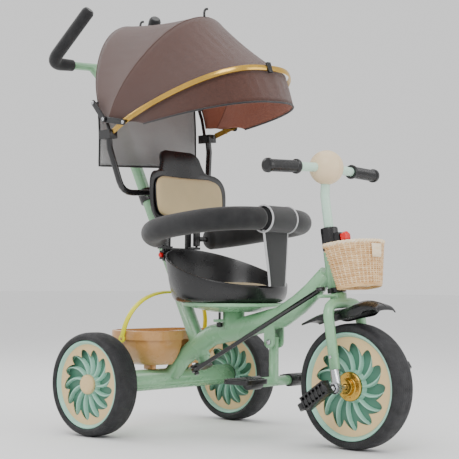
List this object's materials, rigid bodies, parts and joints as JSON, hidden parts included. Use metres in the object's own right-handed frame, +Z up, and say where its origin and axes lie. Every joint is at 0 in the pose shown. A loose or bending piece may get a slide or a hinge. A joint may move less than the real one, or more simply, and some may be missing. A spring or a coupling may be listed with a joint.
{
  "type": "children's push tricycle",
  "caption": "Children's push tricycle with turning seat, padded guard ring, folding canopy, wicker-look basket, rear toy bucket and a push handle that steers.",
  "frame": {"origin": "on the ground, under the middle of the tricycle's bounding box", "axes": "+Z up, -Y forward (the way the rider faces), +X to the rider's left"},
  "size_m": [0.52, 0.9369, 0.9862],
  "materials": {
    "frame_green": "gloss powder coat",
    "rim_teal": "moulded, satin gloss",
    "bar_mint": "gloss powder coat",
    "ball_beige": "moulded, satin gloss",
    "cap_tan": "moulded, satin gloss",
    "gold_metal": "polished, gold coloured",
    "bright_steel": "zinc plated",
    "tyre_rubber": "moulded foam rubber",
    "black_plastic": "moulded, satin gloss",
    "black_paint": "satin black paint",
    "black_foam": "foam sleeve under fine mesh cloth",
    "khaki_pad": "smooth vinyl, satin",
    "canopy_fabric": "heather woven cloth",
    "grey_mesh": "open mesh cloth",
    "wicker": "woven wicker-look plastic",
    "bucket_tan": "moulded, gloss",
    "bail_yellow": "moulded, gloss",
    "signal_red": "moulded, gloss"
  },
  "bodies": {
    "frame": {"main_frame": "frame_green", "rear_axle": "bright_steel", "axle_bush_right": "black_plastic", "axle_bush_left": "black_plastic", "head_ring": "black_plastic"},
    "steering": {"fork": "frame_green", "dropout_right": "bright_steel", "dropout_left": "bright_steel", "front_fender": "black_plastic", "handlebar": "bar_mint", "grip_right": "black_plastic", "grip_left": "black_plastic", "handlebar_ball": "ball_beige", "stem_collar": "black_plastic", "basket": "wicker"},
    "clamp_knob": {"clamp_knob": "signal_red"},
    "front_wheel": {"front_tyre": "tyre_rubber", "front_rim": "rim_teal", "front_hub": "gold_metal"},
    "pedal_crank": {"pedal_crank": "bright_steel"},
    "push_bar": {"push_tube": "frame_green", "push_grip_right": "black_foam", "push_grip_left": "black_foam", "canopy_bar": "black_paint", "canopy_rear": "canopy_fabric", "mesh_panel": "grey_mesh", "steering_crank": "black_paint"},
    "canopy_front": {"canopy_band": "gold_metal", "canopy_front_fabric": "canopy_fabric"},
    "steering_rod": {"steering_rod": "black_paint"},
    "footrest": {"footrest": "frame_green", "foot_pad_right": "black_plastic", "foot_pad_left": "black_plastic"},
    "bucket": {"bucket": "bucket_tan"},
    "bail": {"bail": "bail_yellow"},
    "seat": {"seat_shell": "black_plastic", "seat_pad": "khaki_pad", "seat_pan": "frame_green", "seat_bracket": "black_paint", "backrest": "black_plastic", "backrest_pad": "khaki_pad"},
    "guard_right": {"guard_right": "black_foam"},
    "guard_left": {"guard_left": "black_foam", "crotch_strap": "black_plastic"},
    "guard_button": {"guard_button": "signal_red"},
    "lock_knob": {"lock_knob": "black_plastic"},
    "pedal_knuckle_right": {"pedal_knuckle_right": "black_paint"},
    "pedal_right": {"pedal_right": "black_plastic"},
    "rear_wheel_right": {"rear_tyre_right": "tyre_rubber", "rear_rim_right": "rim_teal", "rear_cap_right": "cap_tan"},
    "strut_rear_right": {"strut_rear_right": "black_paint"},
    "strut_front_right": {"strut_front_right": "black_paint"},
    "pedal_knuckle_left": {"pedal_knuckle_left": "black_paint"},
    "pedal_left": {"pedal_left": "black_plastic"},
    "rear_wheel_left": {"rear_tyre_left": "tyre_rubber", "rear_rim_left": "rim_teal", "rear_cap_left": "cap_tan"},
    "strut_rear_left": {"strut_rear_left": "black_paint"},
    "strut_front_left": {"strut_front_left": "black_paint"}
  },
  "joints": [
    {"name": "steering_turn", "type": "hinge", "parent": "frame", "child": "steering", "pos_m": [0, -0.292, 0.319], "axis": [0, 0.1592, 0.9872], "range_deg": [-12, 24]},
    {"name": "clamp_knob_turn", "type": "hinge", "parent": "steering", "child": "clamp_knob", "pos_m": [-0.00118, -0.30423, 0.42834], "axis": [-0.04, -0.9865, 0.1591], "range_deg": [0, 360]},
    {"name": "front_wheel_spin", "type": "hinge", "parent": "steering", "child": "front_wheel", "pos_m": [-0.00067, -0.33997, 0.12699], "axis": [0.9992, -0.0395, 0.0064], "continuous": true},
    {"name": "pedal_crank_spin", "type": "hinge", "parent": "steering", "child": "pedal_crank", "pos_m": [-0.00067, -0.33997, 0.12699], "axis": [0.9992, -0.0395, 0.0064], "continuous": true},
    {"name": "pedal_fold_right", "type": "hinge", "parent": "pedal_crank", "child": "pedal_knuckle_right", "pos_m": [-0.0966, -0.27913, 0.08787], "axis": [-0.0168, -0.5594, -0.8287], "range_deg": [0, 90]},
    {"name": "pedal_spin_right", "type": "hinge", "parent": "pedal_knuckle_right", "child": "pedal_right", "pos_m": [-0.0966, -0.27913, 0.08787], "axis": [-0.0363, -0.828, 0.5596], "continuous": true},
    {"name": "rear_wheel_spin_right", "type": "hinge", "parent": "frame", "child": "rear_wheel_right", "pos_m": [-0.23, 0.19, 0.112], "axis": [1, 0, 0], "continuous": true},
    {"name": "pedal_fold_left", "type": "hinge", "parent": "pedal_crank", "child": "pedal_knuckle_left", "pos_m": [0.09525, -0.40081, 0.16611], "axis": [-0.0168, -0.5594, -0.8287], "range_deg": [0, 90]},
    {"name": "pedal_spin_left", "type": "hinge", "parent": "pedal_knuckle_left", "child": "pedal_left", "pos_m": [0.09525, -0.40081, 0.16611], "axis": [0.0363, 0.828, -0.5596], "continuous": true},
    {"name": "rear_wheel_spin_left", "type": "hinge", "parent": "frame", "child": "rear_wheel_left", "pos_m": [0.23, 0.19, 0.112], "axis": [1, 0, 0], "continuous": true},
    {"name": "push_bar_turn", "type": "hinge", "parent": "frame", "child": "push_bar", "pos_m": [0, 0.2764, 0.5543], "axis": [0, 0.4493, 0.8934], "range_deg": [-13.1, 25.9]},
    {"name": "steering_rod_turn", "type": "hinge", "parent": "push_bar", "child": "steering_rod", "pos_m": [-0.045, 0.06197, 0.14019], "axis": [0.0351, -0.4518, -0.8915], "range_deg": [-13.4, 26.5]},
    {"name": "canopy_fold", "type": "hinge", "parent": "push_bar", "child": "canopy_front", "pos_m": [-0.01202, 0.21336, 0.67119], "axis": [-0.994, 0.0981, -0.0493], "range_deg": [0, 60], "deforming": ["canopy_front_fabric", "canopy_rear"]},
    {"name": "strut_rear_turn_right", "type": "hinge", "parent": "push_bar", "child": "strut_rear_right", "pos_m": [-0.18426, 0.25489, 0.73747], "axis": [0.994, -0.0981, 0.0493], "range_deg": [0, 33]},
    {"name": "strut_front_turn_right", "type": "hinge", "parent": "canopy_front", "child": "strut_front_right", "pos_m": [-0.18821, 0.15151, 0.68456], "axis": [-0.994, 0.0981, -0.0493], "range_deg": [0, 11]},
    {"name": "strut_rear_turn_left", "type": "hinge", "parent": "push_bar", "child": "strut_rear_left", "pos_m": [0.15766, 0.22115, 0.75444], "axis": [0.994, -0.0981, 0.0493], "range_deg": [0, 33]},
    {"name": "strut_front_turn_left", "type": "hinge", "parent": "canopy_front", "child": "strut_front_left", "pos_m": [0.14655, 0.11848, 0.70118], "axis": [-0.994, 0.0981, -0.0493], "range_deg": [0, 11]},
    {"name": "footrest_fold", "type": "hinge", "parent": "frame", "child": "footrest", "pos_m": [0, -0.1255, 0.208], "axis": [-1, 0, 0], "range_deg": [0, 90]},
    {"name": "bucket_lift", "type": "slide", "parent": "frame", "child": "bucket", "axis": [0, 0.449, 0.8935], "range_m": [0, 0.12]},
    {"name": "bail_swing", "type": "hinge", "parent": "bucket", "child": "bail", "pos_m": [0, 0.205, 0.207], "axis": [-1, 0, 0], "range_deg": [0, 104]},
    {"name": "seat_swivel", "type": "hinge", "parent": "frame", "child": "seat", "pos_m": [0, -0.01, 0.262], "axis": [0, 0, 1], "range_deg": [-180, 180]},
    {"name": "guard_open_right", "type": "hinge", "parent": "seat", "child": "guard_right", "pos_m": [-0.055, 0.156, 0.433], "axis": [0, 0, -1], "range_deg": [0, 60]},
    {"name": "guard_open_left", "type": "hinge", "parent": "seat", "child": "guard_left", "pos_m": [0.055, 0.156, 0.433], "axis": [0, 0, 1], "range_deg": [0, 60]},
    {"name": "guard_button_press", "type": "slide", "parent": "seat", "child": "guard_button", "axis": [1, 0, 0], "range_m": [0, 0.003], "stiffness_N_per_m": 600},
    {"name": "lock_knob_pull", "type": "slide", "parent": "frame", "child": "lock_knob", "axis": [0, 0, -1], "range_m": [0, 0.008], "stiffness_N_per_m": 400}
  ],
  "couplings": [
    {"joint": "push_bar_turn", "follows": "steering_turn", "ratio": 1.0681},
    {"joint": "steering_rod_turn", "follows": "steering_turn", "ratio": 1.0915},
    {"joint": "pedal_crank_spin", "follows": "front_wheel_spin", "ratio": 1},
    {"joint": "strut_rear_turn_right", "follows": "canopy_fold", "ratio": 0.543},
    {"joint": "strut_front_turn_right", "follows": "canopy_fold", "ratio": 0.18},
    {"joint": "strut_rear_turn_left", "follows": "canopy_fold", "ratio": 0.543},
    {"joint": "strut_front_turn_left", "follows": "canopy_fold", "ratio": 0.18}
  ]
}
